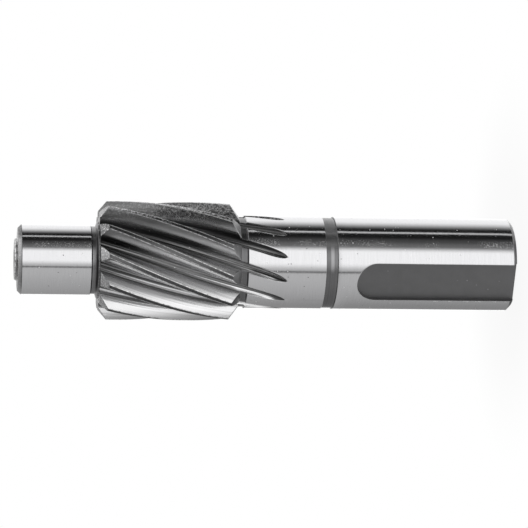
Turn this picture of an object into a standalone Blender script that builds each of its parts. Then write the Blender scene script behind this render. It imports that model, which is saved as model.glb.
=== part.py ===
"""Helical pinion shaft: one turned, hobbed and milled piece of steel.

The shaft stands on its drive end, with its axis on +Z and the middle of the
drive end's face at the origin. From the drive end up it has a milled slot open
at the end, a shallow groove, a ground seat into which the tooth spaces run out,
a relief, the toothed part, a second relief and a smaller bearing journal.
"""

import math

import bpy

MM = 0.001

# Teeth: a rack of standard depth, cut on a right-hand helix. The profile shift, the
# dedendum and the tip shortening are given in modules.
TOOTH_COUNT = 12
NORMAL_MODULE = 1.0 * MM
NORMAL_PRESSURE_ANGLE = math.radians(20.0)
HELIX_ANGLE = math.radians(19.5)
PROFILE_SHIFT = 0.3
DEDENDUM = 1.25
TIP_SHORTENING = 0.03
# Direction of one tooth space where the teeth start, seen from the journal end.
SPACE_DIRECTION = math.radians(-8.5)

# Lengths along the axis, from the drive end's face up.
SEAT_LENGTH = 35.1 * MM
LOWER_RELIEF_LENGTH = 0.8 * MM
GEAR_LENGTH = 18.0 * MM
UPPER_RELIEF_LENGTH = 0.95 * MM
JOURNAL_LENGTH = 9.4 * MM
BOSS_HEIGHT = 0.4 * MM

# Diameters, with the reliefs and the groove as depths below the seats.
SEAT_DIAMETER = 12.0 * MM
JOURNAL_DIAMETER = 9.0 * MM
COLLAR_DIAMETER = 9.9 * MM
BOSS_DIAMETER = 5.4 * MM
LOWER_RELIEF_DEPTH = 0.2 * MM
UPPER_RELIEF_DEPTH = 0.15 * MM
GROOVE_DEPTH = 0.15 * MM

# Edges: those at 45 degrees have one size, the teeth's have a length and a depth.
DRIVE_END_CHAMFER = 0.45 * MM
JOURNAL_CHAMFER = 0.45 * MM
BOSS_CHAMFER = 0.15 * MM
RELIEF_CHAMFER = 0.1 * MM
LOWER_TOOTH_CHAMFER_LENGTH = 1.2 * MM
LOWER_TOOTH_CHAMFER_DEPTH = 1.6 * MM
UPPER_TOOTH_CHAMFER_LENGTH = 1.05 * MM
UPPER_TOOTH_CHAMFER_DEPTH = 1.25 * MM
COLLAR_LENGTH = 0.2 * MM
COLLAR_CONE_LENGTH = 0.2 * MM

# Shallow groove round the seat.
GROOVE_START = 23.45 * MM
GROOVE_WIDTH = 1.5 * MM

# Slot milled along the seat from the drive end, on the -Y side.
SLOT_WIDTH = 5.2 * MM
SLOT_LENGTH = 20.85 * MM
SLOT_FLOOR_HEIGHT = 4.65 * MM

# Centre holes, drilled at both ends with a 60 degree mouth.
DRIVE_CENTRE_MOUTH = 3.35 * MM
DRIVE_CENTRE_PILOT = 1.6 * MM
DRIVE_CENTRE_PILOT_DEPTH = 1.9 * MM
JOURNAL_CENTRE_MOUTH = 2.65 * MM
JOURNAL_CENTRE_PILOT = 1.25 * MM
JOURNAL_CENTRE_PILOT_DEPTH = 1.5 * MM
CENTRE_HALF_ANGLE = math.radians(30.0)
DRILL_POINT_HALF_ANGLE = math.radians(59.0)

# The hob leaves the teeth on an arc of its own radius.
HOB_RADIUS = 25.0 * MM
HOB_STOP_BELOW_TEETH = 0.5 * MM

# How far the cutters reach past the steel, and how finely curves are divided.
CUTTER_REACH = 0.6 * MM
AROUND_STEPS = 60
FLANK_STEPS = 3
ROOT_STEPS = 4
HELIX_STEPS = 11
RUNOUT_STEPS = 7
SLOT_END_STEPS = 20
AXIS_MERGE_DISTANCE = 0.01 * MM
SMOOTH_ANGLE = math.radians(30.0)

# Stations worked out from the lengths.
TEETH_START = SEAT_LENGTH + LOWER_RELIEF_LENGTH
TEETH_END = TEETH_START + GEAR_LENGTH
JOURNAL_START = TEETH_END + UPPER_RELIEF_LENGTH
JOURNAL_END = JOURNAL_START + JOURNAL_LENGTH
TOP = JOURNAL_END + BOSS_HEIGHT

# Tooth radii in the plane square to the axis.
PITCH_RADIUS = TOOTH_COUNT * NORMAL_MODULE / math.cos(HELIX_ANGLE) / 2
TIP_RADIUS = PITCH_RADIUS + (1 + PROFILE_SHIFT - TIP_SHORTENING) * NORMAL_MODULE
ROOT_RADIUS = PITCH_RADIUS - (DEDENDUM - PROFILE_SHIFT) * NORMAL_MODULE
PRESSURE_ANGLE = math.atan(math.tan(NORMAL_PRESSURE_ANGLE) / math.cos(HELIX_ANGLE))
BASE_RADIUS = PITCH_RADIUS * math.cos(PRESSURE_ANGLE)
TURN_PER_LENGTH = math.tan(HELIX_ANGLE) / PITCH_RADIUS


def clear_scene():
    """Remove whatever the file holds."""
    for item in list(bpy.data.objects):
        bpy.data.objects.remove(item, do_unlink=True)


def add_mesh_object(name, vertices, edges, faces):
    """Make a smooth-shaded object of the given points, edges and faces."""
    mesh = bpy.data.meshes.new(name)
    mesh.from_pydata(vertices, edges, faces)
    mesh.update()
    mesh.shade_smooth()
    item = bpy.data.objects.new(name, mesh)
    bpy.context.collection.objects.link(item)
    return item


def ground_steel():
    """Bright ground steel, slightly dulled."""
    material = bpy.data.materials.new("ground_steel")
    material.use_nodes = True
    shader = material.node_tree.nodes["Principled BSDF"]
    shader.inputs["Base Color"].default_value = (0.56, 0.56, 0.57, 1.0)
    shader.inputs["Metallic"].default_value = 1.0
    shader.inputs["Roughness"].default_value = 0.28
    return material


def centre_hole(face, inward, mouth, pilot, pilot_depth):
    """Half section of a centre hole, from its mouth to the drill's point.

    `inward` is -1 where the hole goes down from `face` and 1 where it goes up.
    """
    cone_depth = (mouth - pilot) / 2 / math.tan(CENTRE_HALF_ANGLE)
    point_depth = pilot / 2 / math.tan(DRILL_POINT_HALF_ANGLE)
    return [
        (mouth / 2, face),
        (pilot / 2, face + inward * cone_depth),
        (pilot / 2, face + inward * (cone_depth + pilot_depth)),
        (0.0, face + inward * (cone_depth + pilot_depth + point_depth)),
    ]


def turned_outline():
    """Half section of the turned blank, from the journal end down to the drive end."""
    seat = SEAT_DIAMETER / 2
    groove = seat - GROOVE_DEPTH
    lower_relief = seat - LOWER_RELIEF_DEPTH
    collar = COLLAR_DIAMETER / 2
    journal = JOURNAL_DIAMETER / 2
    upper_relief = journal - UPPER_RELIEF_DEPTH
    boss = BOSS_DIAMETER / 2
    collar_end = TEETH_END + COLLAR_LENGTH

    top_hole = centre_hole(
        TOP, -1, JOURNAL_CENTRE_MOUTH, JOURNAL_CENTRE_PILOT, JOURNAL_CENTRE_PILOT_DEPTH
    )
    bottom_hole = centre_hole(
        0.0, 1, DRIVE_CENTRE_MOUTH, DRIVE_CENTRE_PILOT, DRIVE_CENTRE_PILOT_DEPTH
    )
    journal_part = [
        (boss - BOSS_CHAMFER, TOP),
        (boss, TOP - BOSS_CHAMFER),
        (boss, JOURNAL_END),
        (journal - JOURNAL_CHAMFER, JOURNAL_END),
        (journal, JOURNAL_END - JOURNAL_CHAMFER),
        (journal, JOURNAL_START + RELIEF_CHAMFER),
        (upper_relief, JOURNAL_START),
        (upper_relief, collar_end + COLLAR_CONE_LENGTH),
        (collar, collar_end),
        (collar, TEETH_END),
    ]
    toothed_part = [
        (TIP_RADIUS - UPPER_TOOTH_CHAMFER_DEPTH, TEETH_END),
        (TIP_RADIUS, TEETH_END - UPPER_TOOTH_CHAMFER_LENGTH),
        (TIP_RADIUS, TEETH_START + LOWER_TOOTH_CHAMFER_LENGTH),
        (TIP_RADIUS - LOWER_TOOTH_CHAMFER_DEPTH, TEETH_START),
    ]
    seat_part = [
        (lower_relief, TEETH_START),
        (lower_relief, SEAT_LENGTH),
        (seat, SEAT_LENGTH - RELIEF_CHAMFER),
        (seat, GROOVE_START + GROOVE_WIDTH),
        (groove, GROOVE_START + GROOVE_WIDTH),
        (groove, GROOVE_START),
        (seat, GROOVE_START),
        (seat, DRIVE_END_CHAMFER),
        (seat - DRIVE_END_CHAMFER, 0.0),
    ]
    return top_hole[::-1] + journal_part + toothed_part + seat_part + bottom_hole


def turned_blank(name):
    """The turned blank: its half section taken once round the axis."""
    outline = [(radius, 0.0, height) for radius, height in turned_outline()]
    edges = [(index, index + 1) for index in range(len(outline) - 1)]
    blank = add_mesh_object(name, outline, edges, [])
    turn = blank.modifiers.new("turn", "SCREW")
    turn.axis = "Z"
    turn.angle = math.tau
    turn.steps = AROUND_STEPS
    turn.render_steps = AROUND_STEPS
    turn.use_merge_vertices = True
    turn.merge_threshold = AXIS_MERGE_DISTANCE
    turn.use_smooth_shade = True
    return blank


def involute(angle):
    """The involute function, tan(angle) - angle."""
    return math.tan(angle) - angle


def half_space_angle(radius):
    """Half the angle that a tooth space takes up at `radius`, above the base circle."""
    tooth_at_pitch = math.pi * NORMAL_MODULE / math.cos(HELIX_ANGLE) / 2
    tooth_at_pitch += 2 * PROFILE_SHIFT * NORMAL_MODULE * math.tan(PRESSURE_ANGLE)
    flank_angle = math.acos(min(1.0, BASE_RADIUS / radius))
    half_tooth = tooth_at_pitch / 2 / PITCH_RADIUS
    half_tooth += involute(PRESSURE_ANGLE) - involute(flank_angle)
    return math.pi / TOOTH_COUNT - half_tooth


def space_outline():
    """A tooth space square to the axis, as (across, outward) points.

    It runs down one involute flank, round the root on a half ellipse and up the
    other flank, and reaches past the teeth's tips at the same angle.
    """
    root_start = max(BASE_RADIUS, ROOT_RADIUS + 0.1 * (TIP_RADIUS - ROOT_RADIUS))
    flank = []
    for step in range(FLANK_STEPS + 1):
        radius = root_start + (TIP_RADIUS - root_start) * step / FLANK_STEPS
        angle = half_space_angle(radius)
        flank.append((radius * math.sin(angle), radius * math.cos(angle)))
    tip_angle = half_space_angle(TIP_RADIUS)
    reach = TIP_RADIUS + CUTTER_REACH
    flank.append((reach * math.sin(tip_angle), reach * math.cos(tip_angle)))

    half_width, height = flank[0]
    root = []
    for step in range(1, ROOT_STEPS):
        angle = math.pi * step / ROOT_STEPS
        across = -half_width * math.cos(angle)
        outward = height - (height - ROOT_RADIUS) * math.sin(angle)
        root.append((across, outward))

    left_flank = [(-across, outward) for across, outward in reversed(flank)]
    return left_flank + root + flank


def space_stations():
    """Places along the axis, each with how far the hob has lifted there."""
    stop = TEETH_START - HOB_STOP_BELOW_TEETH
    end = TEETH_END + CUTTER_REACH
    stations = []
    for step in range(HELIX_STEPS + 1):
        stations.append((end + (stop - end) * step / HELIX_STEPS, 0.0))
    last_lift = SEAT_DIAMETER / 2 - ROOT_RADIUS + CUTTER_REACH
    last_angle = math.acos(1 - last_lift / HOB_RADIUS)
    for step in range(1, RUNOUT_STEPS + 1):
        angle = last_angle * step / RUNOUT_STEPS
        lift = HOB_RADIUS * (1 - math.cos(angle))
        stations.append((stop - HOB_RADIUS * math.sin(angle), lift))
    return stations


def space_cutters(name):
    """All the tooth spaces: one outline lofted along the helix, patterned round the axis."""
    outline = space_outline()
    stations = space_stations()
    count = len(outline)
    vertices = []
    faces = []
    for tooth in range(TOOTH_COUNT):
        first = len(vertices)
        for height, lift in stations:
            turn = SPACE_DIRECTION + tooth * math.tau / TOOTH_COUNT
            turn += (height - TEETH_START) * TURN_PER_LENGTH
            for across, outward in outline:
                raised = outward + lift
                x = raised * math.cos(turn) - across * math.sin(turn)
                y = raised * math.sin(turn) + across * math.cos(turn)
                vertices.append((x, y, height))
        for row in range(len(stations) - 1):
            upper = first + row * count
            lower = upper + count
            for index in range(count):
                following = (index + 1) % count
                faces.append(
                    (upper + following, lower + following, lower + index, upper + index)
                )
        last = first + (len(stations) - 1) * count
        faces.append(tuple(range(first + count - 1, first - 1, -1)))
        faces.append(tuple(range(last, last + count)))
    return add_mesh_object(name, vertices, [], faces)


def slot_cutter(name):
    """The slot's cutter: a straight run with a round inner end, open past the drive end."""
    half_width = SLOT_WIDTH / 2
    centre = SLOT_LENGTH - half_width
    outline = [(-half_width, -CUTTER_REACH), (half_width, -CUTTER_REACH)]
    for step in range(SLOT_END_STEPS + 1):
        angle = math.pi * step / SLOT_END_STEPS
        outline.append((half_width * math.cos(angle), centre + half_width * math.sin(angle)))
    outer = -(SEAT_DIAMETER / 2 + CUTTER_REACH)
    inner = -SLOT_FLOOR_HEIGHT
    count = len(outline)
    vertices = [(x, outer, z) for x, z in outline]
    vertices += [(x, inner, z) for x, z in outline]
    faces = [tuple(range(count)), tuple(range(2 * count - 1, count - 1, -1))]
    for index in range(count):
        following = (index + 1) % count
        faces.append((index, index + count, following + count, following))
    return add_mesh_object(name, vertices, [], faces)


def cut(target, cutter):
    """Take the cutter's shape out of the target."""
    cutter.hide_render = True
    cutter.display_type = "WIRE"
    difference = target.modifiers.new(cutter.name, "BOOLEAN")
    difference.operation = "DIFFERENCE"
    difference.solver = "EXACT"
    difference.object = cutter


def smooth_by_angle(item, angle):
    """Shade the object smooth, except at edges that turn by more than `angle`."""
    group = bpy.data.node_groups.new("smooth_by_angle", "GeometryNodeTree")
    group.interface.new_socket("Mesh", in_out="INPUT", socket_type="NodeSocketGeometry")
    group.interface.new_socket("Mesh", in_out="OUTPUT", socket_type="NodeSocketGeometry")
    mesh_in = group.nodes.new("NodeGroupInput")
    mesh_out = group.nodes.new("NodeGroupOutput")
    edge_angle = group.nodes.new("GeometryNodeInputMeshEdgeAngle")
    gentle = group.nodes.new("FunctionNodeCompare")
    gentle.operation = "LESS_THAN"
    gentle.inputs["B"].default_value = angle
    shade = group.nodes.new("GeometryNodeSetShadeSmooth")
    shade.domain = "EDGE"
    group.links.new(edge_angle.outputs["Unsigned Angle"], gentle.inputs["A"])
    group.links.new(gentle.outputs["Result"], shade.inputs["Shade Smooth"])
    group.links.new(mesh_in.outputs["Mesh"], shade.inputs["Geometry"])
    group.links.new(shade.outputs["Geometry"], mesh_out.inputs["Mesh"])
    shading = item.modifiers.new("shading", "NODES")
    shading.node_group = group


def build_pinion_shaft():
    """Turn the blank, hob the teeth and mill the slot."""
    shaft = turned_blank("pinion_shaft")
    cut(shaft, space_cutters("tooth_space_cutters"))
    cut(shaft, slot_cutter("slot_cutter"))
    smooth_by_angle(shaft, SMOOTH_ANGLE)
    shaft.data.materials.append(ground_steel())
    return shaft


clear_scene()
build_pinion_shaft()
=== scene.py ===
"""Looks of a helical pinion shaft, standing on its drive end in a plain studio."""

import math

import bmesh
import bpy
from bpy.props import FloatProperty, FloatVectorProperty, IntProperty, PointerProperty
from bpy.types import Operator, Panel, PropertyGroup
from mathutils import Matrix, Vector


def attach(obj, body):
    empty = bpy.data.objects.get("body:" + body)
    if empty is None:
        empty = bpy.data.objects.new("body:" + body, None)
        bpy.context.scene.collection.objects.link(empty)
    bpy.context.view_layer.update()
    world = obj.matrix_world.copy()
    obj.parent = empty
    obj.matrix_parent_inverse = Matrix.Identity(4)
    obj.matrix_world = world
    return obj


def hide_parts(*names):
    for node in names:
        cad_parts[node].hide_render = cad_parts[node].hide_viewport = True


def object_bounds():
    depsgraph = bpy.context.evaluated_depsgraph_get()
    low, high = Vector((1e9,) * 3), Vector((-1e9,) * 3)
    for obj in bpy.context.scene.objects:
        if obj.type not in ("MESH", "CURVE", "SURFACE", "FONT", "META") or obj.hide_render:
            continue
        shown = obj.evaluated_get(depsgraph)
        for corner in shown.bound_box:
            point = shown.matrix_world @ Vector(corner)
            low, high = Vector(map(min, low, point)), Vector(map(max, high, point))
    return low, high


bl_info = {
    "name": "Pinion Shaft",
    "version": (1, 0, 0),
    "blender": (4, 5, 0),
    "location": "3D View > Sidebar > Pinion Shaft",
    "description": "Builds the detailed pinion shaft, its steel finishes and a plain studio",
    "category": "Object",
}

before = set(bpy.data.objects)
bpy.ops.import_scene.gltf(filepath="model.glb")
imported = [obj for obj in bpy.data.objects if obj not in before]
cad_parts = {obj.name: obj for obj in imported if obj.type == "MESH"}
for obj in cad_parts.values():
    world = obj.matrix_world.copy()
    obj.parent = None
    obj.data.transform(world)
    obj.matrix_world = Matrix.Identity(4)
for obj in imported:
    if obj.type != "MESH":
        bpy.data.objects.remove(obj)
CAD_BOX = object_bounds()

MM = 0.001
FINISHES = ("ground", "turned", "milled", "hobbed", "crest", "chamfer", "edge")


# Sizes and finishes that a user would change.


def length(name, description, millimetres):
    """A length property, given in millimetres."""
    return FloatProperty(
        name=name, description=description, default=millimetres * MM, unit="LENGTH", precision=5
    )


def angle(name, description, degrees):
    """An angle property, given in degrees."""
    value = math.radians(degrees)
    return FloatProperty(name=name, description=description, default=value, subtype="ANGLE")


def rough(finish, place, value):
    """The roughness of a finish, from 0 to 1."""
    name, text = f"{finish} roughness", f"Roughness of {place}"
    return FloatProperty(
        name=name, description=text, default=value, min=0.0, max=1.0, subtype="FACTOR"
    )


def colour(finish, place, value):
    """The linear colour of a finish, given as three numbers."""
    text = f"Colour of {place}"
    return FloatVectorProperty(
        name=finish, description=text, default=value, min=0.0, max=1.0, subtype="COLOR"
    )


class ToothSizes(PropertyGroup):
    """Sizes of the teeth and their run-outs."""

    count: IntProperty(name="Teeth", description="Number of teeth", default=12, min=6)
    module: length("Normal module", "Module square to the helix", 1.0)
    pressure: angle("Pressure angle", "Normal pressure angle", 20.0)
    helix: angle("Helix", "Right-hand helix at the pitch circle", 19.5)
    shift: FloatProperty(name="Profile shift", description="In modules", default=0.3)
    dedendum: FloatProperty(name="Dedendum", description="In modules", default=1.25)
    shortening: FloatProperty(name="Tip shortening", description="In modules", default=0.03)
    direction: angle("Direction", "One tooth space where the teeth start", -8.5)
    start: length("Start", "Height at which the teeth start", 35.9)
    end: length("End", "Height at which the teeth end", 53.9)
    lower_foot: length("Lower foot", "Radius of the teeth's lower end", 6.035)
    lower_chamfer: length("Lower chamfer", "Height of that chamfer", 1.2)
    upper_foot: length("Upper foot", "Radius of the teeth's upper end", 6.385)
    upper_chamfer: length("Upper chamfer", "Height of that chamfer", 1.05)
    hob: length("Hob radius", "Radius of the arc on which the tooth spaces run out", 25.0)
    stop: length("Hob stop", "Height at which the run-out starts", 35.4)
    edge: length("Edge", "Size of the rounding along the teeth's edges", 0.07)


class ShaftSizes(PropertyGroup):
    """Sizes of the turned shaft and its slot."""

    seat: length("Seat radius", "Radius of the ground seat", 6.0)
    seat_end: length("Seat end", "Height of the seat's upper end", 35.1)
    relief: length("Lower relief radius", "Radius of the relief below the teeth", 5.8)
    groove: length("Groove radius", "Radius of the shallow groove's floor", 5.85)
    groove_start: length("Groove start", "Height of its lower wall", 23.45)
    groove_end: length("Groove end", "Height of its upper wall", 24.95)
    drive_chamfer: length("Drive end chamfer", "Chamfer of the drive end", 0.45)
    slot_width: length("Slot width", "Width of the milled slot", 5.2)
    slot_length: length("Slot length", "Length of the slot from the drive end", 20.85)
    slot_floor: length("Slot floor", "Distance of the slot's floor from the axis", 4.65)
    collar: length("Collar radius", "Radius of the collar above the teeth", 4.95)
    collar_width: length("Collar width", "Width of the collar, and of the cone beyond it", 0.2)
    neck: length("Upper relief radius", "Radius of the relief below the journal", 4.35)
    journal: length("Journal radius", "Radius of the bearing journal", 4.5)
    journal_start: length("Journal start", "Height of the journal's lower end", 54.85)
    journal_end: length("Journal end", "Height of the journal's end face", 64.25)
    journal_chamfer: length("Journal chamfer", "Chamfer of the journal's end", 0.45)
    boss: length("Boss radius", "Radius of the boss on the end face", 2.7)
    top: length("Top", "Height of the boss", 64.65)
    boss_chamfer: length("Boss chamfer", "Chamfer of the boss", 0.15)
    step_chamfer: length("Step chamfer", "Small chamfer beside each relief", 0.1)
    drive_hole: length("Drive hole radius", "Mouth of the drive end's centre hole", 1.675)
    drive_pilot: length("Drive pilot radius", "Pilot of the drive end's centre hole", 0.8)
    drive_depth: length("Drive pilot length", "Straight length of that pilot", 1.9)
    journal_hole: length("Journal hole radius", "Mouth of the journal end's centre hole", 1.325)
    journal_pilot: length("Journal pilot radius", "Pilot of the journal end's centre hole", 0.625)
    journal_depth: length("Journal pilot length", "Straight length of that pilot", 1.5)
    edge: length("Edge", "Size of the rounding along turned edges", 0.05)


class SteelFinishes(PropertyGroup):
    """Colours and polish of the steel, finish by finish."""

    ground: colour("Ground", "the ground seats", (0.62, 0.62, 0.63))
    ground_roughness: rough("Ground", "the ground seats", 0.1)
    turned: colour("Turned", "the turned reliefs and faces", (0.24, 0.24, 0.244))
    turned_roughness: rough("Turned", "turned steel", 0.3)
    milled: colour("Milled", "the slot", (0.215, 0.215, 0.218))
    milled_roughness: rough("Milled", "the slot", 0.5)
    hobbed: colour("Hobbed", "the teeth's flanks", (0.72, 0.72, 0.725))
    hobbed_roughness: rough("Hobbed", "the flanks", 0.24)
    crest: colour("Crest", "the teeth's tips", (0.12, 0.12, 0.122))
    crest_roughness: rough("Crest", "the tips", 0.3)
    chamfer: colour("Chamfer", "the teeth's chamfers", (0.42, 0.42, 0.425))
    chamfer_roughness: rough("Chamfer", "the chamfers", 0.4)
    edge: colour("Edge", "the teeth's worn edges", (0.95, 0.95, 0.955))
    edge_roughness: rough("Edge", "the worn edges", 0.5)


class StudioSettings(PropertyGroup):
    """The camera and the light."""

    azimuth: angle("Azimuth", "Direction of the camera round the shaft, from +X", -63.7)
    distance: length("Distance", "Distance of the camera from the axis", 347.8)
    height: length("Height", "Height of the camera", 77.2)
    aim: length("Aim", "Height that the camera looks at", 32.3)
    aim_aside: length("Aim aside", "How far the camera looks beside the axis", -0.24)
    roll: FloatProperty(name="Roll", description="Roll beyond a quarter turn", default=0.0115)
    lens: FloatProperty(name="Lens", description="Focal length in millimetres", default=184.09)
    floor_radius: length("Floor radius", "Radius of the floor", 600.0)


# The shape. Every function works in metres, with the shaft's axis on Z.

# How the surface is divided: steps along each stretch of a ring, and distances between rings.
ROOT_STEPS = 6
FLANK_STEPS = 7
CREST_STEPS = 12
GASH_STEPS = 34
SLOT_COLUMNS = 200
SLOT_END_STEPS = 32
HOLE_SECTOR_STEPS = 14
ROUND_COLUMNS = 216
SEAT_SPACING = 1.5 * MM
RELIEF_SPACING = 0.2 * MM
GEAR_SPACING = 0.3 * MM
SLOT_LEAD = 1.0 * MM  # from the slot's end to the next ring
GASH_LEAD = 0.4 * MM  # from the last plain ring to the gashes' ends
GEAR_LEAD = 0.06 * MM  # from the last ring of the relief to the teeth
PLAIN_SPREAD = math.radians(1.5)  # half the angle in which a gash's columns meet below it

# Roundings: where a corner's points lie, and how large it is beside what it rounds.
CORNER = (1 / 3, 2 / 3)
CORNER_SHARE = 0.4
CUT_SHARE = 0.3
GASH_SHARE = 0.6

# The search for a place on an outline, tolerances and fixed angles.
BISECTIONS = 40
LEAST_FOOT = 0.1  # of the tooth's height: the lowest that a flank may start
NUDGE = 0.001 * MM
WELD = 0.0002 * MM
SHARP_ANGLE = math.radians(31.0)
SLOT_DIRECTION = -math.pi / 2
CENTRE_CONE = math.radians(30.0)
DRILL_POINT = math.radians(59.0)


def involute(value):
    """The involute function."""
    return math.tan(value) - value


def bisect(high, below):
    """The place between 0 and `high` up to which `below` holds."""
    low = 0.0
    for _ in range(BISECTIONS):
        middle = (low + high) / 2
        if below(middle):
            low = middle
        else:
            high = middle
    return (low + high) / 2


class Teeth:
    """Tooth spaces worked out from the sizes."""

    def __init__(self, sizes):
        self.sizes = sizes
        self.pitch = sizes.count * sizes.module / math.cos(sizes.helix) / 2
        self.tip = self.pitch + (1 + sizes.shift - sizes.shortening) * sizes.module
        self.root = self.pitch - (sizes.dedendum - sizes.shift) * sizes.module
        self.pressure = math.atan(math.tan(sizes.pressure) / math.cos(sizes.helix))
        self.base = self.pitch * math.cos(self.pressure)
        self.turn_rate = math.tan(sizes.helix) / self.pitch
        self.spacing = math.tau / sizes.count
        self.foot = max(self.base, self.root + LEAST_FOOT * (self.tip - self.root))
        foot_angle = self.half_space(self.foot)
        self.foot_across = self.foot * math.sin(foot_angle)
        self.foot_outward = self.foot * math.cos(foot_angle)

    def half_space(self, radius):
        """Half the angle of a tooth space at a radius."""
        sizes = self.sizes
        width = math.pi * sizes.module / math.cos(sizes.helix) / 2
        width += 2 * sizes.shift * sizes.module * math.tan(self.pressure)
        flank = math.acos(min(1.0, self.base / radius))
        half_tooth = width / 2 / self.pitch + involute(self.pressure) - involute(flank)
        return math.pi / sizes.count - half_tooth

    def turn(self, height):
        """Direction of the first tooth space at a height."""
        return self.sizes.direction + (height - self.sizes.start) * self.turn_rate

    def lift(self, height):
        """How far the hob has lifted at a height."""
        below = max(0.0, self.sizes.stop - height)
        return self.sizes.hob - math.sqrt(self.sizes.hob**2 - below**2)

    def gash_end(self, radius):
        """Height at which a gash in a seat of this radius ends."""
        rise = radius - self.root
        return self.sizes.stop - math.sqrt(2 * self.sizes.hob * rise - rise**2)

    def point(self, along, lift):
        """A point on a space's outline, as (across, outward).

        `along` is 0 in the middle of the root, 1 at the flank's foot and 2 at its tip.
        """
        if along < 1:
            turn = along * math.pi / 2
            depth = self.foot_outward - self.root
            outward = self.foot_outward - depth * math.cos(turn)
            return self.foot_across * math.sin(turn), outward + lift
        radius = self.foot + (along - 1) * (self.tip - self.foot)
        half = self.half_space(radius)
        return radius * math.sin(half), radius * math.cos(half) + lift

    def reach(self, radius, lift):
        """Where the outline leaves the steel at a radius."""
        return bisect(2.0, lambda along: math.hypot(*self.point(along, lift)) < radius)

    def back_off(self, along, lift, distance):
        """The place on the outline that lies a distance before `along`."""
        end = Vector(self.point(along, lift))
        return bisect(
            along, lambda place: (Vector(self.point(place, lift)) - end).length > distance
        )


def corner_points(first, corner, last):
    """The points on the small curve that rounds a corner."""
    return [
        tuple(
            (1 - part) ** 2 * a + 2 * part * (1 - part) * b + part**2 * c
            for a, b, c in zip(first, corner, last)
        )
        for part in CORNER
    ]


def half_outline(teeth, radius, lift, edge, split):
    """Half of a tooth space's outline from the root's middle to the crest.

    The flank's part above `split` is the one that ends at the steps in the profile. Where
    there is no such part, its points fall together and are welded later.
    """
    top = teeth.reach(radius, lift)
    span = (Vector(teeth.point(top, lift)) - Vector(teeth.point(0, lift))).length
    edge = min(edge, span * CUT_SHARE)
    start = teeth.back_off(top, lift, edge) if edge > 0 else top
    middle = min(split, start) if split is not None else start
    places = [middle * step / ROOT_STEPS for step in range(ROOT_STEPS + 1)]
    places += [middle + (start - middle) * step / FLANK_STEPS for step in range(1, FLANK_STEPS + 1)]
    points = [teeth.point(place, lift) for place in places]
    corner = teeth.point(top, lift)
    polar = math.atan2(*corner) + edge / radius
    crest = (radius * math.sin(polar), radius * math.cos(polar))
    points += corner_points(points[-1], corner, crest)
    points.append(crest)
    return points


def cut_ring(teeth, height, radius, edge=0.0, split=None):
    """One hobbed ring: the tooth spaces' outlines and the arcs between them."""
    half = half_outline(teeth, radius, teeth.lift(height), edge, split)
    outline = [(-across, outward) for across, outward in reversed(half[1:])] + half
    crest_start = math.atan2(*half[-1])
    crest_span = teeth.spacing - 2 * crest_start
    for step in range(1, CREST_STEPS + 1):
        polar = crest_start + crest_span * step / (CREST_STEPS + 1)
        outline.append((radius * math.sin(polar), radius * math.cos(polar)))
    ring = []
    for tooth in range(teeth.sizes.count):
        centre = teeth.turn(height) + tooth * teeth.spacing
        for across, outward in outline:
            x = outward * math.cos(centre) - across * math.sin(centre)
            y = outward * math.sin(centre) + across * math.cos(centre)
            ring.append((x, y, height))
    return ring


def strips(zone):
    """The finish of each strip of a pitch, where the arcs between the spaces have one finish."""
    corner = ["edge" if zone == "crest" else zone] * (len(CORNER) + 1)
    space = ["hobbed"] * (2 * (ROOT_STEPS + FLANK_STEPS))
    return corner + space + corner + [zone] * (CREST_STEPS + 1)


def plain_ring(angles, height, radius):
    """A round ring with its points in the given directions."""
    return [(radius * math.cos(a), radius * math.sin(a), height) for a in angles]


def plain_angles(teeth, height):
    """Directions for the seat's rings below the gashes, bunched in line with their ends."""
    half = ROOT_STEPS + FLANK_STEPS + len(CORNER) + 1
    local = [PLAIN_SPREAD * step / half for step in range(-half, half + 1)]
    rest = teeth.spacing - 2 * PLAIN_SPREAD
    local += [PLAIN_SPREAD + rest * step / (CREST_STEPS + 1) for step in range(1, CREST_STEPS + 1)]
    centres = [teeth.turn(height) + tooth * teeth.spacing for tooth in range(teeth.sizes.count)]
    return [centre + a for centre in centres for a in local]


def rounded(path, edge):
    """A profile of (height, radius) points with its corners rounded where they aren't sharp.

    A point with a third entry of True stays sharp.
    """
    result = []
    for index, item in enumerate(path):
        here = item[:2]
        if len(item) > 2 or index in (0, len(path) - 1):
            result.append(here)
            continue
        before = Vector(path[index - 1][:2]) - Vector(here)
        after = Vector(path[index + 1][:2]) - Vector(here)
        size = min(edge, min(before.length, after.length) * CORNER_SHARE)
        first = Vector(here) + before.normalized() * size
        last = Vector(here) + after.normalized() * size
        result.append(tuple(first))
        result += corner_points(first, here, last)
        result.append(tuple(last))
    return result


def divided(path, step):
    """A profile with its long stretches divided."""
    result = [path[0]]
    for before, here in zip(path, path[1:]):
        pieces = max(1, math.ceil(abs(here[0] - before[0]) / step))
        for piece in range(1, pieces + 1):
            part = piece / pieces
            result.append(tuple(a + (b - a) * part for a, b in zip(before, here)))
    return result


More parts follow.
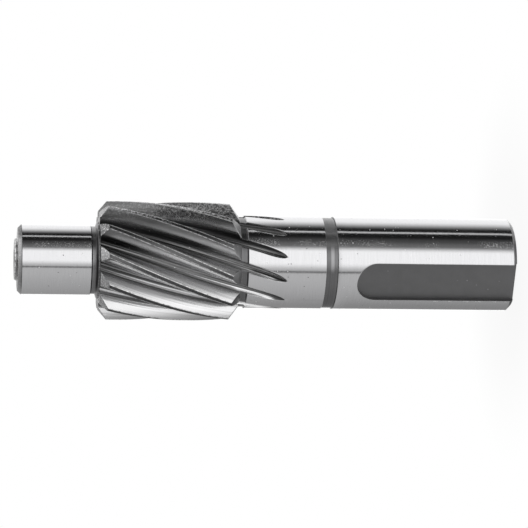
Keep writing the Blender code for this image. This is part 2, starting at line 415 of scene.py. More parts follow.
class Skin:
    """Points and faces of the shaft's surface, each face with its finish."""

    def __init__(self):
        self.points = []
        self.faces = []
        self.finishes = []

    def ring(self, points):
        """Add points and return their numbers."""
        first = len(self.points)
        self.points += points
        return list(range(first, len(self.points)))

    def face(self, corners, finish):
        """Add one face."""
        self.faces.append(tuple(corners))
        self.finishes.append(FINISHES.index(finish))

    def join(self, lower, upper, finish, closed=True):
        """Join two rings of as many points with quads. `finish` may be a list of finishes."""
        count = len(lower)
        names = [finish] if isinstance(finish, str) else finish
        for index in range(count if closed else count - 1):
            following = (index + 1) % count
            corners = (lower[index], lower[following], upper[following], upper[index])
            self.face(corners, names[index % len(names)])

    def grow(self, loop, points, finish, closed=True):
        """Add a ring, join the loop before it to it, and return its numbers."""
        ring = self.ring(points)
        self.join(loop, ring, finish, closed)
        return ring

    def bridge(self, loop, points, finish):
        """Add a ring of another count, joined with triangles by walking round by direction."""
        ring = self.ring(points)
        loops = []
        for numbers in (loop, ring):
            polar = [math.atan2(self.points[i][1], self.points[i][0]) % math.tau for i in numbers]
            first = polar.index(min(polar))
            pairs = list(zip(numbers, polar))
            last = (numbers[first], math.tau + polar[first])
            loops.append(pairs[first:] + pairs[:first] + [last])
        (a, b), i, j = loops, 0, 0
        while i < len(a) - 1 or j < len(b) - 1:
            if j == len(b) - 1 or (i < len(a) - 1 and a[i + 1][1] < b[j + 1][1]):
                self.face((a[i][0], a[i + 1][0], b[j][0]), finish)
                i += 1
            else:
                self.face((a[i][0], b[j + 1][0], b[j][0]), finish)
                j += 1
        return ring


def hole_profile(mouth, pilot, depth):
    """A centre hole's profile from its mouth inwards, as (depth, radius) points."""
    cone = (mouth - pilot) / math.tan(CENTRE_CONE)
    point = pilot / math.tan(DRILL_POINT)
    return [(cone, pilot), (cone + depth, pilot), (cone + depth + point, 0.0)]


def slot_rows(shaft):
    """Rows up the slotted part: (height, radius, half width, rim height, rim half width)."""
    half = shaft.slot_width / 2
    rim = half + shaft.edge
    centre = shaft.slot_length - half
    path = [
        (0.0, shaft.seat - shaft.drive_chamfer),
        (shaft.drive_chamfer, shaft.seat),
        (centre, shaft.seat),
    ]
    rows = []
    for height, radius in divided(rounded(path, shaft.edge), SEAT_SPACING):
        rows.append((height, radius, half, height, rim))
    for step in range(1, SLOT_END_STEPS + 1):
        turn = math.pi / 2 * step / SLOT_END_STEPS
        wide, long = math.cos(turn), math.sin(turn)
        low, high = centre + half * long, centre + rim * long
        rows.append((low, shaft.seat, half * wide, high, rim * wide))
    return rows


def build_slotted_part(skin, shaft):
    """The drive end with its slot, up to the groove's floor. Returns the last ring."""
    previous = face_rim = None
    for height, radius, half, rim_height, rim_half in slot_rows(shaft):
        spread = math.asin(min(1.0, rim_half / radius))
        angles = [
            SLOT_DIRECTION + spread + (math.tau - 2 * spread) * step / SLOT_COLUMNS
            for step in range(SLOT_COLUMNS + 1)
        ]
        ring = skin.ring(plain_ring(angles, rim_height, radius))
        sides = []
        for sign in (1, -1):
            rim = (sign * rim_half, -math.sqrt(radius**2 - rim_half**2), rim_height)
            corner = (sign * half, -math.sqrt(radius**2 - half**2), height)
            wall = (sign * half, corner[1] + shaft.edge, height)
            foot = (sign * half, -shaft.slot_floor, height)
            sides.append(skin.ring(corner_points(rim, corner, wall) + [wall, foot]))
        right = [ring[0]] + sides[0]
        left = [ring[-1]] + sides[1]
        if previous:
            old_ring, old_right, old_left = previous
            finish = "chamfer" if rim_height < shaft.drive_chamfer + shaft.edge else "ground"
            skin.join(old_ring, ring, finish, closed=False)
            for old, new in ((old_right, right), (old_left, left)):
                for index in range(len(new) - 1):
                    name = "milled" if index == len(new) - 2 else "chamfer"
                    skin.face((old[index], new[index], new[index + 1], old[index + 1]), name)
            skin.face((old_right[-1], old_left[-1], left[-1], right[-1]), "milled")
        else:
            face_rim = (ring, right, left, angles, spread)
        previous = (ring, right, left)
    path = [
        (shaft.slot_length + SLOT_LEAD, shaft.seat),
        (shaft.groove_start, shaft.seat),
        (shaft.groove_start, shaft.groove, True),
        (shaft.groove_end, shaft.groove),
    ]
    for height, radius in rounded(path, shaft.edge):
        on_seat = height < shaft.groove_start and radius > shaft.seat - NUDGE
        points = plain_ring(angles, height, radius)
        ring = skin.grow(ring, points, "ground" if on_seat else "turned", closed=False)
    build_drive_face(skin, shaft, *face_rim)
    return ring[:-1]


def build_drive_face(skin, shaft, ring, right, left, angles, spread):
    """The drive end's flat face and its centre hole."""
    sector = [
        SLOT_DIRECTION - spread + 2 * spread * step / HOLE_SECTOR_STEPS
        for step in range(1, HOLE_SECTOR_STEPS)
    ]
    inner = skin.ring(plain_ring(angles, 0.0, shaft.drive_hole))
    arc = skin.ring(plain_ring(sector, 0.0, shaft.drive_hole))
    skin.join(ring, inner, "turned", closed=False)
    notch = list(reversed(right)) + [inner[0]] + list(reversed(arc)) + [inner[-1]] + left
    skin.face(notch, "turned")
    loop = inner + arc
    for height, radius in hole_profile(shaft.drive_hole, shaft.drive_pilot, shaft.drive_depth):
        loop = skin.grow(loop, plain_ring(angles + sector, height, radius), "turned")


def build_toothed_part(skin, shaft, sizes, teeth, loop):
    """The seat's upper part, the gashes, the relief and the teeth. Returns the last ring."""
    gash_end = teeth.gash_end(shaft.seat)
    angles = plain_angles(teeth, gash_end)
    path = [
        (shaft.groove_end, shaft.groove),
        (shaft.groove_end, shaft.seat),
        (gash_end - GASH_LEAD, shaft.seat),
    ]
    plain = [plain_ring(angles, height, radius) for height, radius in rounded(path, shaft.edge)]
    loop = skin.bridge(loop, plain[0], "turned")
    for index, points in enumerate(plain[1:]):
        loop = skin.grow(loop, points, "ground" if index else "turned")

    seat_top = shaft.seat_end - shaft.step_chamfer
    for step in range(GASH_STEPS + 1):
        height = gash_end + (seat_top - shaft.edge - gash_end) * (step / GASH_STEPS) ** 2
        points = cut_ring(teeth, height, shaft.seat, sizes.edge * GASH_SHARE)
        loop = skin.grow(loop, points, strips("ground") if step else "ground")
    relief = [
        (seat_top - shaft.edge, shaft.seat),
        (seat_top, shaft.seat),
        (shaft.seat_end, shaft.relief),
        (sizes.start - GEAR_LEAD, shaft.relief),
    ]
    for height, radius in divided(rounded(relief, shaft.edge), RELIEF_SPACING)[1:]:
        points = cut_ring(teeth, height, radius, sizes.edge * GASH_SHARE)
        loop = skin.grow(loop, points, strips("chamfer" if height < shaft.seat_end else "turned"))
    split = teeth.reach(shaft.relief, 0.0)
    loop = skin.grow(loop, cut_ring(teeth, sizes.start, shaft.relief), strips("turned"))
    tip = min(teeth.tip, CAD_BOX[1].x, CAD_BOX[1].y)
    gear = [
        (sizes.start, sizes.lower_foot),
        (sizes.start + sizes.lower_chamfer, tip),
        (sizes.end - sizes.upper_chamfer, tip),
        (sizes.end, sizes.upper_foot),
    ]
    points = cut_ring(teeth, sizes.start, sizes.lower_foot, sizes.edge, split)
    loop = skin.grow(loop, points, "turned")
    for height, radius in divided(rounded(gear, sizes.edge), GEAR_SPACING)[1:]:
        points = cut_ring(teeth, height, radius, sizes.edge, split)
        low = height <= sizes.start + sizes.lower_chamfer
        high = height > sizes.end - sizes.upper_chamfer
        loop = skin.grow(loop, points, strips("chamfer" if low or high else "crest"))
    return loop


def build_journal_part(skin, shaft, sizes, loop):
    """The collar, the upper relief, the journal, its end face and the centre hole."""
    angles = [math.tau * step / ROUND_COLUMNS for step in range(ROUND_COLUMNS)]
    collar_end = sizes.end + shaft.collar_width
    journal_foot = shaft.journal_start + shaft.step_chamfer
    journal_top = shaft.journal_end - shaft.journal_chamfer
    bare = shaft.journal - shaft.journal_chamfer
    boss_top = shaft.boss - shaft.boss_chamfer
    hole = hole_profile(shaft.journal_hole, shaft.journal_pilot, shaft.journal_depth)
    path = [
        (sizes.end, shaft.collar, True),
        (collar_end, shaft.collar),
        (collar_end + shaft.collar_width, shaft.neck),
        (shaft.journal_start, shaft.neck),
        (journal_foot, shaft.journal),
        (journal_top, shaft.journal),
        (shaft.journal_end, bare),
        (shaft.journal_end, shaft.boss),
        (shaft.top - shaft.boss_chamfer, shaft.boss),
        (shaft.top, boss_top),
        (shaft.top, shaft.journal_hole),
        *((shaft.top - depth, radius) for depth, radius in hole),
    ]
    rings = rounded(path, shaft.edge)
    loop = skin.bridge(loop, plain_ring(angles, *rings[0]), "turned")
    for height, radius in rings[1:]:
        finish = "turned"
        if radius > shaft.journal - NUDGE and journal_foot < height < journal_top:
            finish = "ground"
        elif height > shaft.journal_end and radius > boss_top - 2 * shaft.edge:
            finish = "edge"
        elif height <= collar_end or (height > journal_top and radius > bare - 2 * shaft.edge):
            finish = "chamfer"
        loop = skin.grow(loop, plain_ring(angles, height, radius), finish)


def shaft_mesh(name, shaft, sizes):
    """The whole surface as one closed mesh, with a material slot for each finish."""
    teeth, skin = Teeth(sizes), Skin()
    loop = build_slotted_part(skin, shaft)
    loop = build_toothed_part(skin, shaft, sizes, teeth, loop)
    build_journal_part(skin, shaft, sizes, loop)
    mesh = bpy.data.meshes.new(name)
    mesh.from_pydata(skin.points, [], skin.faces)
    for _ in FINISHES:
        mesh.materials.append(None)
    for polygon, finish in zip(mesh.polygons, skin.finishes):
        polygon.material_index = finish
        polygon.use_smooth = True
    work = bmesh.new()
    work.from_mesh(mesh)
    bmesh.ops.remove_doubles(work, verts=work.verts, dist=WELD)
    bmesh.ops.recalc_face_normals(work, faces=work.faces)
    loose = [edge for edge in work.edges if len(edge.link_faces) != 2]
    work.to_mesh(mesh)
    work.free()
    if loose:
        raise RuntimeError(f"the shaft's surface is open at {len(loose)} edges")
    mesh.set_sharp_from_angle(angle=SHARP_ANGLE)
    return mesh


# Shader maths.


class Signal:
    """A shader socket that can be used in arithmetic."""

    def __init__(self, nodes, socket):
        self.nodes = nodes
        self.socket = socket

    def _math(self, operation, *values):
        node = self.nodes.make("ShaderNodeMath", dict(enumerate(values)), {"operation": operation})
        return self.nodes.signal(node)

    def __add__(self, other):
        return self._math("ADD", self, other)

    def __radd__(self, other):
        return self._math("ADD", other, self)

    def __sub__(self, other):
        return self._math("SUBTRACT", self, other)

    def __rsub__(self, other):
        return self._math("SUBTRACT", other, self)

    def __mul__(self, other):
        return self._math("MULTIPLY", self, other)

    def __truediv__(self, other):
        return self._math("DIVIDE", self, other)

    def __abs__(self):
        return self._math("ABSOLUTE", self)

    def at_least(self, least):
        """This value, or the least one where it is smaller."""
        return self._math("MAXIMUM", self, least)

    def fraction(self):
        """The part after the decimal point."""
        return self._math("FRACT", self)

    def power(self, exponent):
        """This value raised to a power."""
        return self._math("POWER", self, exponent)

    def turn_from(self, other):
        """The angle whose tangent is this value over the other."""
        return self._math("ARCTAN2", self, other)

    def smooth(self, low, high):
        """0 below `low` and 1 above `high`, with a soft change between them."""
        inputs = {"Value": self, "From Min": low, "From Max": high}
        node = self.nodes.make("ShaderNodeMapRange", inputs, {"interpolation_type": "SMOOTHSTEP"})
        return self.nodes.signal(node, "Result")

    def until(self, low, high):
        """1 below `low` and 0 above `high`, with a soft change between them."""
        return 1 - self.smooth(low, high)

    def band(self, low, full, fade, high):
        """1 from `full` to `fade` and 0 outside `low` and `high`, with soft changes between."""
        return self.smooth(low, full) * self.until(fade, high)


class Nodes:
    """Makes the nodes of one material or world."""

    def __init__(self, tree):
        self.tree = tree
        tree.nodes.clear()

    def make(self, kind, inputs=None, settings=None):
        """A node with its settings made first, then its inputs as values or links."""
        node = self.tree.nodes.new(kind)
        for key, value in (settings or {}).items():
            setattr(node, key, value)
        for key, value in (inputs or {}).items():
            source = value.socket if isinstance(value, Signal) else value
            if isinstance(source, bpy.types.NodeSocket):
                self.tree.links.new(source, node.inputs[key])
            else:
                node.inputs[key].default_value = source
        return node

    def signal(self, node, output=0):
        """A node's output as a signal."""
        return Signal(self, node.outputs[output])

    def place(self):
        """Position on the piece in millimetres: a vector socket, then its three parts."""
        coordinates = self.make("ShaderNodeTexCoord")
        inputs = {0: coordinates.outputs["Object"], "Scale": 1 / MM}
        scaled = self.make("ShaderNodeVectorMath", inputs, {"operation": "SCALE"})
        parts = self.make("ShaderNodeSeparateXYZ", {0: scaled.outputs[0]})
        return scaled.outputs[0], *(self.signal(parts, axis) for axis in "XYZ")

    def stretched(self, vector, stretch):
        """A vector multiplied part by part."""
        node = self.make("ShaderNodeVectorMath", {0: vector, 1: stretch}, {"operation": "MULTIPLY"})
        return node.outputs[0]

    def combined(self, x, y, z):
        """A vector made of three parts."""
        return self.make("ShaderNodeCombineXYZ", {0: x, 1: y, 2: z}).outputs[0]

    def noise(self, vector, scale, detail=2.0, roughness=0.5):
        """Noise from 0 to 1."""
        inputs = {"Vector": vector, "Scale": scale, "Detail": detail, "Roughness": roughness}
        return self.signal(self.make("ShaderNodeTexNoise", inputs), "Fac")

    def specks(self, vector, scale, size, share):
        """Small separate dots, as a mask: `share` of the cells hold one."""
        cells = self.make("ShaderNodeTexVoronoi", {"Vector": vector, "Scale": scale})
        chosen = self.make("ShaderNodeSeparateColor", {0: cells.outputs["Color"]})
        picked = self.signal(chosen).smooth(1 - share, 1 - share + 0.001)
        return picked * self.signal(cells, "Distance").until(size * 0.5, size)

    def blend(self, amount, first, second):
        """A colour between two colours."""
        inputs = {"Factor": amount, 6: first, 7: second}
        return self.make("ShaderNodeMix", inputs, {"data_type": "RGBA"}).outputs[2]


class SteelNodes(Nodes):
    """The nodes of one steel finish, with its colour, its roughness and the teeth."""

    def __init__(self, tree, base, roughness, teeth):
        super().__init__(tree)
        self.base = base
        self.roughness = roughness
        self.teeth = teeth

    def tone(self, amount):
        """The finish's colour made lighter or darker, with an alpha of 1."""
        return (*(min(1.0, part * amount) for part in self.base), 1.0)

    def between(self, mask, low, high):
        """The finish's colour between two tones, by a mask."""
        return self.blend(mask, self.tone(low), self.tone(high))

    def layered(self, base, *layers):
        """A colour with tones of the finish laid over it in turn, each as (mask, amount)."""
        for mask, amount in layers:
            base = self.blend(mask, base, self.tone(amount))
        return base


# Directions across the shaft by which some finishes have light and shade painted into their colour.
# With the shaft lying as it does in the picture, one is the side that is uppermost and the other
# the side that faces the camera.
UPPER_SIDE = (0.896, 0.443)
NEAR_SIDE = (0.443, -0.896)


def towards(side, x, y):
    """How far a place lies towards a side, measured from the axis."""
    return x * side[0] + y * side[1]


def from_axis(x, y):
    """The distance of a place from the axis."""
    return (x * x + y * y).power(0.5)


# The finishes. Each function returns base colour, roughness, bump height and bump depth, and
# works in millimetres.


def ground_steel(nodes):
    """Ground seats: near mirror, with fine lines round the shaft, pits, bright specks, and painted
    glints in a band on one side.
    """
    vector, x, y, z = nodes.place()
    tall = towards(UPPER_SIDE, x, y) / from_axis(x, y)
    # A band round one side of the seat, where specks are painted bright as glints.
    glint_band = tall.band(0.33, 0.38, 0.46, 0.58)
    slot_rim = abs(x + 2.71).until(0.04, 0.09) * y.until(-5.0, -4.0) * z.until(10.0, 12.0)
    lines = nodes.noise(nodes.stretched(vector, (0.5, 0.5, 11.0)), 1.0, 3.0, 0.6)
    cloud = nodes.noise(vector, 0.6, 2.0)
    grains = nodes.noise(nodes.stretched(vector, (1.0, 1.0, 1.4)), 3.2, 2.0, 0.7)
    worn = nodes.noise(vector, 0.3, 2.0).smooth(0.36, 0.6)
    # Painted glints: bright specks in that band, in random places.
    glints = nodes.noise(vector, 8.0, 2.0, 0.8).smooth(0.52, 0.64) * glint_band * worn
    burrs = nodes.noise(vector, 1.3, 1.0).smooth(0.55, 0.58) * slot_rim
    pits = nodes.specks(vector, 2.4, 0.26, 0.06)
    nicks = nodes.specks(nodes.stretched(vector, (1.0, 1.0, 1.3)), 1.9, 0.24, 0.07)
    bright = (nicks + glints * 0.7 + burrs).smooth(0.0, 1.0)
    base = nodes.between(lines.smooth(0.3, 0.7), 0.97, 1.03)
    base = nodes.layered(base, (pits * 0.7, 0.4), (bright, 1.6))
    roughness = nodes.roughness + (lines - 0.5) * 0.03 + (cloud - 0.5) * 0.04
    roughness = roughness + grains.smooth(0.55, 0.75) * 0.05 + pits * 0.3 + bright * 0.45
    return base, roughness, lines * 0.4 + grains * 3.0 - pits * 2.0 + nicks * 3.0, 0.0008


def turned_steel(nodes):
    """Turned reliefs and faces: a duller grey with tool lines round the axis, a painted highlight
    along the groove, painted light on the drive end's upper side, and darker below the teeth's
    middle.
    """
    vector, x, y, z = nodes.place()
    up = towards(UPPER_SIDE, x, y)
    rings = nodes.noise(nodes.combined(from_axis(x, y) * 9.0, 0.0, z * 9.0), 1.0, 2.0)
    cloud = nodes.noise(vector, 0.9, 3.0)
    # Painted highlight along the groove's floor, on the side that faces the camera.
    groove_highlight = abs(z - 24.15).until(0.08, 0.36) * up.band(-1.6, -0.6, 1.6, 2.6)
    # Painted light on the upper side of the turned faces near the drive end.
    lifted = z.until(26.0, 30.0) * up.band(1.8, 2.6, 4.2, 5.0)
    base = nodes.between(rings.smooth(0.25, 0.75), 0.8, 1.15)
    # Darker below the teeth's middle, except where light is painted.
    darkened = z.until(44.0, 46.0) * (1 - lifted) * 0.25
    base = nodes.layered(base, (darkened, 0.05), (groove_highlight, 1.45), (lifted * 0.8, 2.0))
    return base, nodes.roughness + (cloud - 0.5) * 0.15, rings, 0.0025


def milled_steel(nodes):
    """The slot: matt, with faint arcs left by the cutter."""
    vector, x, _, z = nodes.place()
    arcs = (x * x * 0.12 + z) * 2.2
    lines = nodes.noise(nodes.combined(0.0, 0.0, arcs), 1.6, 3.0)
    cloud = nodes.noise(vector, 0.7, 3.0)
    flecks = nodes.specks(vector, 1.6, 0.16, 0.12)
    base = nodes.layered(nodes.between(cloud.smooth(0.3, 0.7), 0.97, 1.03), (flecks * 0.6, 2.6))
    return base, nodes.roughness + (lines - 0.5) * 0.1, lines, 0.002


def hobbed_steel(nodes):
    """Flanks and gashes: bright flanks over dull roots, with the hob's lines along the helix.
    The roots' darkness is partly their finish and partly painted shade deep in the spaces, and the
    walls carry painted light and shade by the side of the shaft that they face.

    `aside` runs from -0.5 to 0.5 across each pitch, with 0 in the middle of the tooth space.
    `below` is how far a place lies below the height at which the run-outs start, and `depth`
    the radius at which it would lie if the hob hadn't lifted there.
    """
    teeth = nodes.teeth
    sizes = teeth.sizes
    vector, x, y, z = nodes.place()
    up = towards(UPPER_SIDE, x, y)
    below = (sizes.stop / MM - z).at_least(0.0)
    depth = from_axis(x, y) - below * below * (MM / sizes.hob / 2)
    turn = y.turn_from(x) - z * (teeth.turn_rate * MM)
    aside = ((turn - teeth.turn(0.0)) * (1 / teeth.spacing) + 0.5).fraction() - 0.5
    on_gear = below.until(0.0, 1.0)
    upper_wall = aside.until(-0.04, 0.02)

    # Zones across the spaces, round the shaft and along it, in which light and shade are painted.
    lit_wall = aside.band(-0.19, -0.165, -0.105, -0.08) * below.until(3.1, 4.3)
    lit_wall = lit_wall * (1 - up.smooth(-3.0, 0.0) * 0.9)
    # Painted shade along the middle of each space's root, a little weaker on the upper side.
    middle = aside.band(-0.1, -0.075, 0.05, 0.075) * (1 - up.smooth(-1.0, 1.0) * 0.3)
    # Painted light on a band of the root's other wall, on the lower side of the shaft.
    lit_root_band = aside.band(0.06, 0.085, 0.125, 0.15) * up.until(0.0, 1.5)
    # Painted shade on that wall partway up the upper side, deepest towards the journal end.
    shaded_side = aside.smooth(0.0, 0.08) * up.band(-0.5, 3.0, 3.4, 5.0)
    shaded_side = shaded_side * below.until(0.0, 1.5) * (0.55 + z.smooth(42.0, 50.0) * 0.2)
    shaded = aside.band(0.1, 0.18, 0.24, 0.29) * up.band(0.6, 2.2, 4.9, 5.6) * on_gear * 0.5
    lit_edge = aside.smooth(0.23, 0.29) * up.smooth(0.4, 1.6) * on_gear * 0.55
    lit_edge = lit_edge * (1 - up.smooth(4.4, 5.0) * (1 - z.smooth(45.0, 48.0) * 0.6))
    # The walls that face the camera, which get painted shade below.
    facing = up.band(-3.4, -1.0, 2.2, 3.8) * on_gear
    # Painted shade on the upper walls facing the camera towards the journal end, and in the gashes.
    far_side_shade = facing * z.smooth(42.0, 50.0) * upper_wall
    gash_side_shade = upper_wall * below.smooth(0.3, 1.5) * up.band(-3.4, -2.4, 0.5, 1.5)
    # The upper side towards the back, where the steel's mottle is painted as light and dark dots.
    top = up.smooth(4.9, 5.9) * towards(NEAR_SIDE, x, y).smooth(-3.0, -1.0)
    # Bright flanks over dark roots: partly the roots' own finish, partly painted shade deep in the
    # spaces.
    bright = (depth - shaded_side * 0.5).smooth(5.75, 6.45)

    # The lines: long along the helix and fine across it.
    helix = nodes.combined(depth * 0.8, z * 0.04, turn * 54.0)
    lines = nodes.noise(helix, 1.0, 0.0, 0.5).smooth(0.48, 0.6)
    cloud = nodes.noise(vector, 0.5, 3.0)
    mottle = nodes.noise(vector, 3.6, 2.0, 0.7)
    pits = nodes.specks(vector, 1.8, 0.15, 0.08)

    # The roots, then the flanks, then what lies over both: painted shade, painted light and pits.
    # Painted shade in the roots, with painted light on their lit wall and lit band.
    darkened = (far_side_shade * 0.3 + gash_side_shade * 0.5 + middle * 0.5 + shaded_side).smooth(0.0, 1.0)
    root = nodes.between(lines, 0.22, 0.75)
    root = nodes.layered(root, (darkened, 0.05), (lit_wall, 1.25), (lit_root_band * 0.6, 1.0))
    base = nodes.blend(bright, root, nodes.between(lines, 0.97, 1.03))
    # Painted shade on the walls facing the camera, dark mottle dots on the upper side, and the
    # shaded zone.
    darkened = facing * (0.2 + z.smooth(44.0, 50.0) * 0.1) * (1 - lit_edge)
    darkened = darkened + top * mottle.until(0.42, 0.54) * (0.6 - z.smooth(45.0, 48.0) * 0.4)
    darkened = (darkened + shaded).smooth(0.0, 1.0)
    # Painted light: light mottle dots on the upper side and the lit edge.
    light = (top * mottle.smooth(0.54, 0.6) * 0.8 + lit_edge * 0.5).smooth(0.0, 1.0)
    base = nodes.layered(base, (darkened, 0.04), (light, 1.38), (pits * 0.6, 1.5))
    roughness = nodes.roughness + (cloud - 0.5) * 0.1 + (1 - bright) * 0.1 + lit_edge * 0.2
    return base, roughness, lines * (1.3 - bright) + mottle * top * 3.0, 0.02


def crest_steel(nodes):
    """The teeth's tips: streaky, with a mottle of fine specks painted bright as glints on the upper
    side, and painted shade towards the lower side.
    """
    vector, x, y, _ = nodes.place()
    up = towards(UPPER_SIDE, x, y)
    lines = nodes.noise(nodes.stretched(vector, (0.6, 0.6, 9.0)), 1.0, 3.0, 0.6)
    grains = nodes.noise(vector, 3.4, 2.0, 0.7)
    # Where the grains are painted bright as glints: the upper side towards the back.
    glint_patch = (up + (nodes.noise(vector, 0.4) - 0.5) * 3.0).smooth(3.6, 5.8)
    glint_patch = glint_patch * towards(NEAR_SIDE, x, y).smooth(-3.0, -1.0)
    even = nodes.between(lines.smooth(0.3, 0.7), 0.9, 1.1)
    base = nodes.blend(glint_patch, even, nodes.between(grains.smooth(0.48, 0.58), 1.0, 5.0))
    # Painted shade towards the lower side.
    base = nodes.layered(base, (up.until(-5.0, -1.0) * 0.35, 0.1))
    roughness = nodes.roughness + (lines - 0.5) * 0.15 + (grains - 0.5) * 0.2
    return base, roughness, lines * 0.2 + grains * glint_patch * 5.0, 0.014


def chamfer_steel(nodes):
    """Chamfers and the slot's rims, with burrs at the gear's ends, painted light on the drive end's
    upper side and painted shade on the journal end's upper side.
    """
    vector, x, y, z = nodes.place()
    lines = nodes.noise(nodes.stretched(vector, (0.5, 0.5, 10.0)), 1.0, 3.0, 0.6)
    cloud = nodes.noise(vector, 0.8, 2.0)
    up = towards(UPPER_SIDE, x, y)
    drive, top = z.until(44.0, 46.0), up.smooth(2.5, 3.3)
    # Where burrs lie: at the gear's upper end all round, and on the drive end only on the upper
    # side, where they are painted bright as glints.
    rough = top * drive + z.smooth(52.7, 53.2) - z.smooth(53.9, 54.2) * 0.7
    burrs = nodes.noise(vector, 5.5, 1.0, 0.6).smooth(0.56, 0.64) * rough
    burrs = burrs + nodes.specks(vector, 3.0, 0.3, 0.12)
    # Painted light on the upper side of the drive end's chamfers, painted shade on the upper side
    # of the journal end's.
    light, darkened = top * drive * 0.6, top * (1 - drive) * up.until(4.8, 5.8) * 0.6
    base = nodes.between(lines.smooth(0.3, 0.7), 0.9, 1.1)
    base = nodes.layered(base, (light, 2.2), (darkened, 0.03), (burrs * 0.8, 2.4))
    return base, nodes.roughness + (cloud - 0.5) * 0.12, lines, 0.003


def edge_steel(nodes):
    """Worn edges, bright in places."""
    wear = nodes.noise(nodes.place()[0], 2.2, 3.0, 0.7)
    base = nodes.between(wear.smooth(0.38, 0.55), 0.45, 1.0)
    return base, nodes.roughness + (wear - 0.5) * 0.1, wear, 0.004


SHADES = {
    "ground": ground_steel,
    "turned": turned_steel,
    "milled": milled_steel,
    "hobbed": hobbed_steel,
    "crest": crest_steel,
    "chamfer": chamfer_steel,
    "edge": edge_steel,
}


def steel(name, finishes, teeth):
    """The steel material of one finish."""
    material = bpy.data.materials.new(f"{name}_steel_finish")
    material.use_nodes = True
    base, roughness = getattr(finishes, name), getattr(finishes, f"{name}_roughness")
    material.diffuse_color = (*base, 1.0)
    nodes = SteelNodes(material.node_tree, base, roughness, teeth)
    base, roughness, height, depth = SHADES[name](nodes)
    bump = {"Strength": 1.0, "Distance": depth * MM, "Height": height}
    normal = nodes.make("ShaderNodeBump", bump).outputs[0]
    inputs = {"Base Color": base, "Roughness": roughness, "Metallic": 1.0, "Normal": normal}
    shader = nodes.make("ShaderNodeBsdfPrincipled", inputs)
    nodes.make("ShaderNodeOutputMaterial", {"Surface": shader.outputs[0]})
    return material


# The studio.

WHITE = (1.0, 1.0, 1.0, 1.0)
PALE = (0.85, 0.85, 0.85, 1.0)


def studio_world(settings):
    """Soft light round the shaft, white to the camera.

    `turn` is the direction round the shaft in degrees, 0 at the camera, and `rise` the
    direction's slope along the shaft. Level with the shaft the light stands in upright bands.
    Below it a broad soft box shines up. Above it the studio is dark towards the camera and
    lighter behind the shaft and overhead.
    """
    world = bpy.data.worlds.new("studio_light")
    world.use_nodes = True
    nodes = Nodes(world.node_tree)
    coordinates = nodes.make("ShaderNodeTexCoord")
    parts = nodes.make("ShaderNodeSeparateXYZ", {0: coordinates.outputs["Generated"]})
    x, y, rise = (nodes.signal(parts, axis) for axis in "XYZ")
    cosine, sine = math.cos(settings.azimuth), math.sin(settings.azimuth)
    front = towards((cosine, sine), x, y)
    turn = towards((sine, -cosine), x, y).turn_from(front) * (180 / math.pi)

    # Level with the shaft.
    table = 0.66 - turn.smooth(30.0, 160.0) * 0.36 + turn.smooth(155.0, 175.0) * 1.4
    panel = turn.band(-44.0, -27.0, 0.0, 20.0)
    seam = turn.band(19.5, 22.5, 24.5, 27.5)
    flag = 0.015 + turn.smooth(-70.0, -58.0) * 0.07 + turn.smooth(-58.0, -46.0) * 0.1
    strip = turn.band(-87.0, -84.5, -82.5, -80.0) * 0.85
    box = turn.until(-130.0, -93.0) * 1.28
    lower_half = turn.smooth(0.0, 20.0)
    level = (1 - lower_half) * (flag + strip + box) + panel * 1.2
    level = level + lower_half * (table - seam * 0.45)
    level = level + rise.smooth(-0.2, 0.0) * turn.smooth(60.0, 130.0) * 0.12

    # Below it, then above it.
    glow = turn.band(-75.0, -5.0, 8.0, 75.0)
    back = turn.until(-160.0, -140.0) * rise.smooth(-0.85, -0.7)
    below = 0.06 + turn.band(-130.0, -55.0, 70.0, 120.0) * 0.33 + glow * 0.95 + back * 0.6
    haze = turn.band(-110.0, -60.0, -38.0, -18.0) + turn.smooth(15.0, 35.0) * 0.25
    behind = turn.until(-138.0, -92.0) + turn.smooth(110.0, 150.0) * 0.5
    roof = rise.smooth(0.7, 0.9) * (1 - turn.smooth(-120.0, 20.0) * 0.66)
    above = 0.03 + haze * 0.24 + behind * 0.95 + roof * 0.8

    # All of it together, and plain white for the camera.
    low = rise.until(-0.58, -0.3)
    high = rise.smooth(-0.02, 0.15)
    light = level * (1 - low - high) + below * low + above * high
    for_camera = nodes.signal(nodes.make("ShaderNodeLightPath"), "Is Camera Ray")
    strength = light * (1 - for_camera) + for_camera
    shader = nodes.make("ShaderNodeBackground", {"Color": WHITE, "Strength": strength})
    nodes.make("ShaderNodeOutputWorld", {"Surface": shader.outputs[0]})
    return world


def floor_material():
    """A pale floor that keeps the shaft's shadow and fades into the white round it."""
    material = bpy.data.materials.new("pale_floor")
    material.use_nodes = True
    nodes = Nodes(material.node_tree)
    _, x, y, _ = nodes.place()
    for_camera = nodes.signal(nodes.make("ShaderNodeLightPath"), "Is Camera Ray")
    matt = nodes.make("ShaderNodeBsdfDiffuse", {"Color": PALE})
    white = nodes.make("ShaderNodeEmission", {"Color": WHITE, "Strength": 1.0})
    fade = for_camera * (0.92 + from_axis(x, y).smooth(8.0, 28.0) * 0.08)
    mix = nodes.make("ShaderNodeMixShader", {0: fade, 1: matt.outputs[0], 2: white.outputs[0]})
    nodes.make("ShaderNodeOutputMaterial", {"Surface": mix.outputs[0]})
    return material


def add_floor(settings):
    """The floor under the drive end."""
    mesh = bpy.data.meshes.new("floor")
    work = bmesh.new()
    bmesh.ops.create_circle(work, cap_ends=True, segments=96, radius=settings.floor_radius)
    work.to_mesh(mesh)
    work.free()
    mesh.materials.append(floor_material())
    floor = bpy.data.objects.new("floor", mesh)
    floor.visible_glossy = False
    floor.visible_shadow = False
    bpy.context.scene.collection.objects.link(floor)


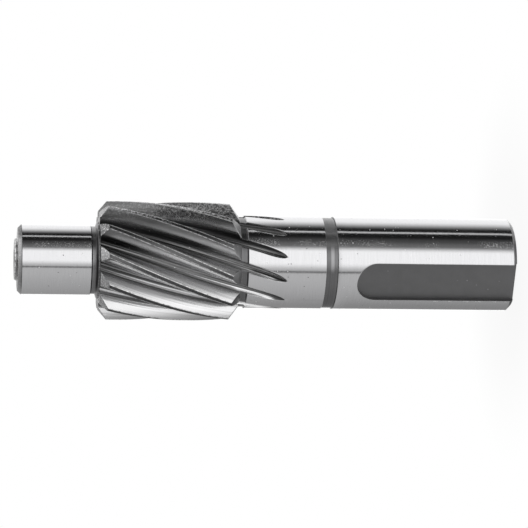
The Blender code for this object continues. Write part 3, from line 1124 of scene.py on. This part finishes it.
def add_camera(settings):
    """The camera, turned a quarter so that the standing shaft lies across the picture."""
    side = Vector((math.cos(settings.azimuth), math.sin(settings.azimuth), 0.0))
    level = Vector((-side.y, side.x, 0.0))
    eye = side * settings.distance + Vector((0.0, 0.0, settings.height))
    aim = Vector((0.0, 0.0, settings.aim)) + level * settings.aim_aside
    forward = (aim - eye).normalized()
    right = Vector((0.0, 0.0, -1.0)) * math.cos(settings.roll) + level * math.sin(settings.roll)
    right = (right - forward * right.dot(forward)).normalized()
    upward = right.cross(forward)
    data = bpy.data.cameras.new("camera")
    data.sensor_width = 36.0
    data.lens = settings.lens
    data.clip_start = 0.01
    data.clip_end = 20.0
    camera = bpy.data.objects.new("camera", data)
    facing = Matrix((right, upward, -forward)).transposed()
    camera.matrix_world = Matrix.Translation(eye) @ facing.to_4x4()
    bpy.context.scene.collection.objects.link(camera)
    bpy.context.scene.camera = camera


class PINION_OT_shaft(Operator):
    """Build the detailed shaft in place of the plain one"""

    bl_idname = "pinion.shaft"
    bl_label = "Build Shaft"

    def execute(self, context):
        scene = context.scene
        mesh = shaft_mesh("pinion_shaft_surface", scene.pinion_shaft, scene.pinion_teeth)
        shaft = bpy.data.objects.new("pinion_shaft_surface", mesh)
        scene.collection.objects.link(shaft)
        weights = shaft.modifiers.new("weighted normals", "WEIGHTED_NORMAL")
        weights.keep_sharp = True
        weights.weight = 50
        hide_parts("pinion_shaft")
        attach(shaft, "root")
        return {"FINISHED"}


class PINION_OT_finishes(Operator):
    """Give each machined surface of the shaft its own finish"""

    bl_idname = "pinion.finishes"
    bl_label = "Finish Steel"

    def execute(self, context):
        shaft = bpy.data.objects.get("pinion_shaft_surface")
        if shaft is None:
            raise RuntimeError("build the shaft before its finishes")
        teeth = Teeth(context.scene.pinion_teeth)
        for index, name in enumerate(FINISHES):
            shaft.data.materials[index] = steel(name, context.scene.pinion_steel, teeth)
        return {"FINISHED"}


class PINION_OT_studio(Operator):
    """Set up the floor, the light and the camera"""

    bl_idname = "pinion.studio"
    bl_label = "Set Up Studio"

    def execute(self, context):
        settings = context.scene.pinion_studio
        context.scene.world = studio_world(settings)
        add_floor(settings)
        add_camera(settings)
        context.scene.view_settings.view_transform = "Standard"
        return {"FINISHED"}


class PINION_PT_panel(Panel):
    """Lists the steps that build the scene"""

    bl_label = "Pinion Shaft"
    bl_space_type = "VIEW_3D"
    bl_region_type = "UI"
    bl_category = "Pinion Shaft"

    def draw(self, context):
        for step in STEPS:
            self.layout.operator(step.bl_idname)
        for name, group in SETTINGS.items():
            column = self.layout.column(align=True)
            for key in group.__annotations__:
                column.prop(getattr(context.scene, name), key)


STEPS = (PINION_OT_shaft, PINION_OT_finishes, PINION_OT_studio)
SETTINGS = {
    "pinion_shaft": ShaftSizes,
    "pinion_teeth": ToothSizes,
    "pinion_steel": SteelFinishes,
    "pinion_studio": StudioSettings,
}
CLASSES = (*SETTINGS.values(), *STEPS, PINION_PT_panel)


def register():
    """Register the classes and hang their settings on the scene."""
    for item in CLASSES:
        bpy.utils.register_class(item)
    for name, group in SETTINGS.items():
        setattr(bpy.types.Scene, name, PointerProperty(type=group))


def unregister():
    """Undo register."""
    for name in SETTINGS:
        delattr(bpy.types.Scene, name)
    for item in reversed(CLASSES):
        bpy.utils.unregister_class(item)


def main():
    """Build everything."""
    register()
    bpy.ops.pinion.shaft()
    bpy.ops.pinion.finishes()
    bpy.ops.pinion.studio()


if __name__ == "__main__":
    main()
